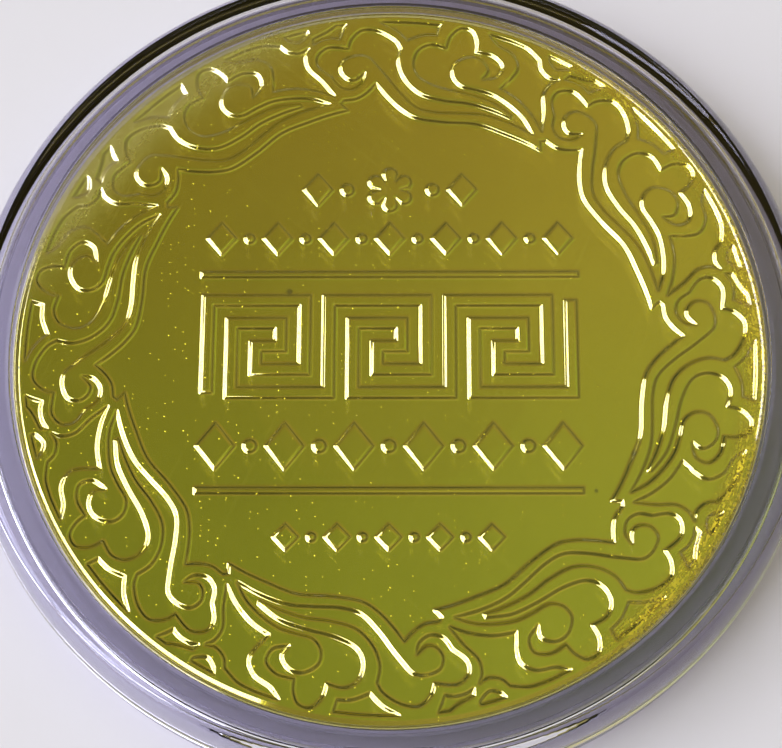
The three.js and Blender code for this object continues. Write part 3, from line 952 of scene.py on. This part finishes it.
def mesh_object(name, points, faces):
    """A mesh object at the origin from points in millimetres."""
    made = bpy.data.meshes.new(name)
    made.from_pydata([p * MM for p in points], [], faces)
    made.update()
    return placed(name, made)


# %% [markdown]
# One eighth of the medal is its piece of the border, with the edge and the reverse
# below it, down to the axis. The edge has a bevel, which mirrors the window as a white
# line, and is rounded below it. The reverse is plain inside a low rim, as nothing
# shows what it carries.

# %% The section of edge and reverse
INNER_STEPS, OUTER_STEPS = 8, 32
EDGE_WIDTH, EDGE_SLOPE = 0.46, math.radians(21)
EDGE_ROUND, EDGE_STEPS = 0.28, 6
EDGE_HOLDS = (0.08, 0.92)
FACE_RADIUS = MEDAL_RADIUS - EDGE_WIDTH
REVERSE_DEPTH, REVERSE_WALL, REVERSE_HOLD = 0.2, 0.3, 0.05


def arc(radius, steps, start=FIRST_ANGLE):
    """Places along an eighth of a circle."""
    angles = [start + EIGHTH * k / steps for k in range(steps + 1)]
    return [(radius * math.cos(a), radius * math.sin(a)) for a in angles]


def edge_section():
    """Radius and height from the face's edge round to the axis of the reverse."""
    r, bottom = MEDAL_RADIUS - EDGE_ROUND, MEDAL_BOTTOM
    run = EDGE_WIDTH - EDGE_ROUND * (1 - math.sin(EDGE_SLOPE))
    round_z = MEDAL_TOP - run * math.tan(EDGE_SLOPE) - EDGE_ROUND * math.cos(EDGE_SLOPE)
    steps = [k / EDGE_STEPS for k in range(EDGE_STEPS + 1)]
    upper = [EDGE_SLOPE + (math.pi / 2 - EDGE_SLOPE) * u for u in steps]
    lower = [math.pi / 2 * u for u in steps]
    section = [(FACE_RADIUS + run * u, MEDAL_TOP - run * u * math.tan(EDGE_SLOPE)) for u in EDGE_HOLDS]
    section += [(r + EDGE_ROUND * math.sin(a), round_z + EDGE_ROUND * math.cos(a)) for a in upper]
    section += [(r + EDGE_ROUND * math.cos(a), bottom + EDGE_ROUND * (1 - math.sin(a))) for a in lower]
    section += [(RIM_INNER - u * REVERSE_WALL, bottom + REVERSE_DEPTH * u * u * (3 - 2 * u)) for u in steps]
    section.append((RIM_INNER - REVERSE_WALL - REVERSE_HOLD, bottom + REVERSE_DEPTH))
    section.append((FIELD_RADIUS, bottom + REVERSE_DEPTH))
    return section


print("points in the section:", len(edge_section()))

# %% One eighth and the middle
face_edge = arc(FACE_RADIUS, OUTER_STEPS)
eighth_outline = arc(FIELD_RADIUS, INNER_STEPS) + face_edge[::-1]
points, faces = net(border, eighth_outline, RELIEF)
face_count = len(faces)
rows = [[(x, y, MEDAL_TOP) for x, y in face_edge]]
rows += [[(x, y, z) for x, y in arc(r, OUTER_STEPS)] for r, z in edge_section()]
first = len(points)
points += [Vector(p) for row in rows for p in row]
for i in range(len(rows) - 1):
    for j in range(OUTER_STEPS):
        a = first + i * (OUTER_STEPS + 1) + j
        faces.append((a + 1, a, a + OUTER_STEPS + 1, a + OUTER_STEPS + 2))
axis_point = len(points)
points.append(Vector((0, 0, rows[-1][0][2])))
last_row = first + (len(rows) - 1) * (OUTER_STEPS + 1)
faces += [(last_row + j + 1, last_row + j, axis_point) for j in range(OUTER_STEPS)]
eighth = mesh_object("eighth", points, faces)
print("one eighth:", len(points), "points,", face_count, "triangles in its face")

ring = [p for k in range(SCROLLS) for p in arc(FIELD_RADIUS, INNER_STEPS, FIRST_ANGLE + k * EIGHTH)[:-1]]
points, faces = net(middle, ring, ORNAMENT)
centre = mesh_object("centre", points, faces)
print("middle:", len(points), "points,", len(faces), "triangles")

# %% [markdown]
# What repeats is made by Geometry Nodes. Each tree gets named inputs and ends in the
# same way: its copies are made real, its seams merged and its material set. Running a
# tree on an object gives a plain mesh, and the object that carried it is thrown away.

# %% Helpers for geometry trees
SEAM = 2e-4


def tree_with_inputs(name, inputs):
    """A geometry node tree with a mesh input and output, and named inputs between."""
    made = bpy.data.node_groups.new(name, "GeometryNodeTree")
    made.interface.new_socket("Mesh", in_out="OUTPUT", socket_type="NodeSocketGeometry")
    made.interface.new_socket("Mesh", in_out="INPUT", socket_type="NodeSocketGeometry")
    for label, kind in inputs:
        made.interface.new_socket(label, in_out="INPUT", socket_type=kind)
    tree = Tree(made)
    given = made.nodes.new("NodeGroupInput")
    values = {s.name: Value(made, s) for s in given.outputs if s.name}
    return made, tree, values


def finish_tree(tree, geometry, paint):
    """The end of every tree: one real, merged, smooth mesh with its material."""
    geometry = tree.add("GeometryNodeRealizeInstances", None, {"Geometry": geometry})
    geometry = tree.add("GeometryNodeMergeByDistance", None, {"Geometry": geometry, "Distance": SEAM * MM})
    geometry = tree.add("GeometryNodeSetShadeSmooth", None, {"Geometry": geometry})
    geometry = tree.add("GeometryNodeSetMaterial", None, {"Geometry": geometry, "Material": paint})
    tree.add("NodeGroupOutput", None, {"Mesh": geometry})


def settled(thing, group, settings, name):
    """Runs a tree on an object, and returns the result as a plain mesh object."""
    modifier = thing.modifiers.new("nodes", "NODES")
    modifier.node_group = group
    sockets = {s.name: s.identifier for s in group.interface.items_tree if s.in_out == "INPUT"}
    for label, value in settings.items():
        modifier[sockets[label]] = value
    graph = bpy.context.evaluated_depsgraph_get()
    made = bpy.data.meshes.new_from_object(thing.evaluated_get(graph))
    made.name = name
    return placed(name, made)


def closed_report(piece):
    """Says how many faces a piece has, and how many of its edges are open."""
    shape = bmesh.new()
    shape.from_mesh(piece.data)
    loose = sum(1 for e in shape.edges if len(e.link_faces) != 2)
    triangles = sum(len(f.verts) - 2 for f in shape.faces)
    volume = shape.calc_volume(signed=True) / MM ** 3
    shape.free()
    print(f"{piece.name}: {triangles} triangles, {loose} open edges, {volume:.1f} cubic mm")


# %% [markdown]
# This tree sets copies of its mesh round the Z axis and joins the middle to them, so
# that the medal comes out as one closed mesh. The number of copies, the middle and the
# material are its inputs. Turning the eighths in Python would do as well, but here the
# count can be changed on the tree.

# %% The tree that repeats a piece round the axis
repeat, tree, given = tree_with_inputs("Repeat round", [
    ("Copies", "NodeSocketInt"), ("Middle", "NodeSocketObject"), ("Material", "NodeSocketMaterial")])
spots = tree.add("GeometryNodePoints", None, {"Count": given["Copies"]})
index = tree.add("GeometryNodeInputIndex")
spin = tree.add("ShaderNodeCombineXYZ", None, {"Z": index * (2 * math.pi) / given["Copies"]})
copies = tree.add("GeometryNodeInstanceOnPoints", None, {
    "Points": spots, "Instance": given["Mesh"], "Rotation": spin})
middle_piece = tree.add("GeometryNodeObjectInfo", None, {"Object": given["Middle"]}, out="Geometry")
both_parts = tree.tree.nodes.new("GeometryNodeJoinGeometry")
for part in (copies, middle_piece):
    tree.tree.links.new(part.socket, both_parts.inputs[0])
finish_tree(tree, Value(tree.tree, both_parts.outputs[0]), given["Material"])

# %% The whole medal
medal_inputs = {"Copies": SCROLLS, "Middle": centre, "Material": gilt}
struck_medal = settled(eighth, repeat, medal_inputs, "struck_medal")
for spare in (eighth, centre):
    bpy.data.objects.remove(spare)
closed_report(struck_medal)

# %% [markdown]
# The true normals go on last. A vertex of the face is looked up in the sheet that it
# came from, turned back to the first eighth where it lies in the border.

# %% Normals of the face
LOOK = 0.02


def face_normals(sheet, x, y, relief):
    """The surface's normals at places in a sheet."""
    steep = relief * wall_steepness(sheet.look(x, y))
    slope_x = (sheet.look(x + LOOK, y) - sheet.look(x - LOOK, y)) / (2 * LOOK)
    slope_y = (sheet.look(x, y + LOOK) - sheet.look(x, y - LOOK)) / (2 * LOOK)
    normal = np.stack([-steep * slope_x, -steep * slope_y, np.ones_like(x)], 1)
    return normal / np.linalg.norm(normal, axis=1)[:, None]


def read(items, name):
    """One vector for each vertex of the medal."""
    values = np.zeros(len(items) * 3)
    items.foreach_get(name, values)
    return values.reshape(-1, 3)


where = read(struck_medal.data.vertices, "co") / MM
normals = read(struck_medal.data.vertex_normals, "vector")
radii = np.hypot(where[:, 0], where[:, 1])
on_face = (where[:, 2] > MEDAL_TOP - RELIEF - NEARLY * 10) & (radii < FACE_RADIUS + NEARLY * 10)
in_middle = on_face & (radii < FIELD_RADIUS)
in_border = on_face & ~in_middle
normals[in_middle] = face_normals(middle, where[in_middle, 0], where[in_middle, 1], ORNAMENT)
angle = np.arctan2(where[in_border, 1], where[in_border, 0])
eighths = np.floor((angle - FIRST_ANGLE) / EIGHTH)
folded = angle - eighths * EIGHTH
found = face_normals(border, radii[in_border] * np.cos(folded), radii[in_border] * np.sin(folded), RELIEF)
a = eighths * EIGHTH
normals[in_border] = np.stack([found[:, 0] * np.cos(a) - found[:, 1] * np.sin(a),
                               found[:, 0] * np.sin(a) + found[:, 1] * np.cos(a), found[:, 2]], 1)
struck_medal.data.normals_split_custom_set_from_vertices(normals.tolist())
print("normals set on", int(on_face.sum()), "of", len(where), "points")

# %% [markdown]
# Both halves of the capsule are turned shapes: one section, spun about the axis. The
# tree lays a grid with a row for each point of the section and a column for each
# step round, and moves each point of it to its place. It turns clockwise, so that the
# faces point out. The section's corners are rounded as a mould leaves them, because
# in clear plastic each corner draws a line.

# %% The tree that spins a section
SPIN_STEPS = 240
ROUNDING = 1e-4

lathe, tree, given = tree_with_inputs("Spin section", [
    ("Steps", "NodeSocketInt"), ("Material", "NodeSocketMaterial")])
rows_in = tree.add("GeometryNodeAttributeDomainSize", None, {"Geometry": given["Mesh"]}, out="Point Count")
columns_in = given["Steps"] + 1
grid_size = {"Vertices X": rows_in, "Vertices Y": columns_in}
sheet_mesh = tree.add("GeometryNodeMeshGrid", None, grid_size, out="Mesh")
index = tree.add("GeometryNodeInputIndex")
rows_before = index / columns_in + ROUNDING
row_number = rows_before.maths("FLOOR", rows_before)
column_number = index - row_number * columns_in
section_place = tree.add("GeometryNodeSampleIndex", {"data_type": "FLOAT_VECTOR"}, {
    "Geometry": given["Mesh"], "Value": tree.add("GeometryNodeInputPosition"), "Index": row_number})
spun_place = tree.add("ShaderNodeVectorRotate", {"rotation_type": "Z_AXIS"}, {
    "Vector": section_place, "Angle": column_number * (-2 * math.pi) / given["Steps"]})
spun = tree.add("GeometryNodeSetPosition", None, {"Geometry": sheet_mesh, "Position": spun_place})
finish_tree(tree, spun, given["Material"])
print("trees:", repeat.name, "and", lathe.name)

# %% Helpers for a turned section
FILLET_STEPS, SHOULDER_STEPS = 4, 14
HOLD = 0.03


def rounded(corners):
    """A section's points, from corners of radius, height and fillet. 0 leaves a corner as it is."""
    points = []
    for k, (r, z, fillet) in enumerate(corners):
        here = Vector((r, z))
        if not fillet:
            points.append(here)
            continue
        back_way = (Vector(corners[k - 1][:2]) - here).normalized()
        on_way = (Vector(corners[k + 1][:2]) - here).normalized()
        cut = fillet / math.tan(back_way.angle(on_way) / 2)
        start, end = here + back_way * cut, here + on_way * cut
        points.append(start + back_way * HOLD)
        for step in range(FILLET_STEPS + 1):
            t = step / FILLET_STEPS
            points.append(start * (1 - t) ** 2 + here * 2 * t * (1 - t) + end * t ** 2)
        points.append(end + on_way * HOLD)
    return points


def spun_piece(name, corners, paint):
    """A turned piece from the corners of its section."""
    points = [Vector((p.x, 0, p.y)) for p in rounded(corners)]
    section = mesh_object(name + "_section", points, [])
    piece = settled(section, lathe, {"Steps": SPIN_STEPS, "Material": paint}, name)
    bpy.data.objects.remove(section)
    return piece


def snap(radius, direction):
    """Three corners of the snap bead or its groove, upwards for 1 and downwards for -1."""
    return [(radius + depth, SNAP_Z + direction * rise, SNAP_ROUND)
            for rise, depth in ((-SNAP_HALF, 0), (0, SNAP_DEPTH), (SNAP_HALF, 0))]


def shoulder(start, end, corner):
    """Points of a quarter ellipse from one place to another, bulging to a corner."""
    points = []
    for k in range(SHOULDER_STEPS + 1):
        t = k / SHOULDER_STEPS * math.pi / 2
        near, far = 1 - math.sin(t), 1 - math.cos(t)
        points.append((corner[0] + (start[0] - corner[0]) * near + (end[0] - corner[0]) * far,
                       corner[1] + (start[1] - corner[1]) * near + (end[1] - corner[1]) * far, 0))
    return points


# %% [markdown]
# The base holds the medal on a narrow ring, inside a wall with a snap bead outside.
# The lid's skirt goes over that wall and stands on the base's ledge. Only a hair of
# air stays between plastic and plastic, and between plastic and medal, because a wide
# gap turns the light back before it reaches the medal's edge. What keeps the medal
# down is a ring under the lid's window, 0.2 mm proud. It runs out in a long taper, so
# that it draws no line over the medal.

# %% Sizes of the capsule
WINDOW = 1.2
CLEARANCE, AIR = 0.15, 0.015
SEAT_WALL, SEAT_REACH, STEP_DEPTH = 1.25, 1.9, 0.2
SEAT_RADIUS = MEDAL_RADIUS + CLEARANCE
WALL_RADIUS = SEAT_RADIUS + SEAT_WALL
SKIRT_INNER = WALL_RADIUS + CLEARANCE
STEP_INNER = SEAT_RADIUS - SEAT_REACH
STEP_Z = CAPSULE_HEIGHT - WINDOW - STEP_DEPTH
STEP_RUN = 12.0
POCKET_INNER, POCKET_TOP = SEAT_RADIUS - 2 * AIR, WALL_TOP + 2 * AIR
SHOULDER_WIDTH, LIP_HEIGHT, LIP_CHAMFER = 1.2, 0.7, 0.15
SNAP_Z, SNAP_HALF, SNAP_DEPTH = LEDGE_HEIGHT + 1.1, 0.25, 0.1
WALL_CHAMFER = 0.2
CRISP, EASED, SNAP_ROUND, TAPER_ROUND = 0.05, 0.06, 0.1, 0.3
POCKET_EDGE, LEDGE_ROOT = 0.04, 0.08
print(f"seat wall {SEAT_RADIUS:.2f} to {WALL_RADIUS:.2f} mm, skirt from {SKIRT_INNER:.2f} mm")

# %% The two halves of the capsule
base_section = [
    (0, 0, 0),
    *shoulder((CAPSULE_RADIUS - SHOULDER_WIDTH, 0), (CAPSULE_RADIUS, LEDGE_HEIGHT - LIP_HEIGHT),
              (CAPSULE_RADIUS, 0)),
    (CAPSULE_RADIUS, LEDGE_HEIGHT - LIP_CHAMFER, CRISP),
    (CAPSULE_RADIUS - LIP_CHAMFER, LEDGE_HEIGHT - AIR, CRISP),
    (WALL_RADIUS, LEDGE_HEIGHT - AIR, LEDGE_ROOT),
    *snap(WALL_RADIUS, 1),
    (WALL_RADIUS, WALL_TOP - WALL_CHAMFER, EASED),
    (WALL_RADIUS - WALL_CHAMFER, WALL_TOP, EASED),
    (SEAT_RADIUS + WALL_CHAMFER, WALL_TOP, EASED),
    (SEAT_RADIUS, WALL_TOP - WALL_CHAMFER, EASED),
    (SEAT_RADIUS, MEDAL_BOTTOM - AIR, EASED),
    (STEP_INNER, MEDAL_BOTTOM - AIR, CRISP),
    (STEP_INNER, WINDOW, CRISP),
    (0, WINDOW, 0),
]
lid_section = [
    (0, CAPSULE_HEIGHT - WINDOW, 0),
    (STEP_INNER - STEP_RUN, CAPSULE_HEIGHT - WINDOW, TAPER_ROUND),
    (STEP_INNER, STEP_Z, TAPER_ROUND),
    (POCKET_INNER, STEP_Z, POCKET_EDGE),
    (POCKET_INNER, POCKET_TOP, EASED),
    (SKIRT_INNER, POCKET_TOP, EASED),
    *snap(SKIRT_INNER, -1),
    (SKIRT_INNER, LEDGE_HEIGHT + AIR, EASED),
    (CAPSULE_RADIUS - LIP_CHAMFER, LEDGE_HEIGHT + AIR, CRISP),
    (CAPSULE_RADIUS, LEDGE_HEIGHT + LIP_CHAMFER, CRISP),
    *shoulder((CAPSULE_RADIUS, LEDGE_HEIGHT + LIP_HEIGHT), (CAPSULE_RADIUS - SHOULDER_WIDTH, CAPSULE_HEIGHT),
              (CAPSULE_RADIUS, CAPSULE_HEIGHT)),
    (0, CAPSULE_HEIGHT, 0),
]
moulded_base = spun_piece("moulded_base", base_section, clear_base)
moulded_lid = spun_piece("moulded_lid", lid_section, clear_lid)
closed_report(moulded_base)
closed_report(moulded_lid)

# %% [markdown]
# Each new piece takes the place of its packed one and rides on the same body, so that
# the medal and the lid lift when the joints are posed.

# %% Hand the pieces over
for piece, node, body_name, slot_name in (
        (struck_medal, "medal", "medal", "gilt_metal"),
        (moulded_base, "capsule_base", "base", "clear_plastic"),
        (moulded_lid, "capsule_lid", "lid", "clear_plastic")):
    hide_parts(node)
    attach(piece, body_name)
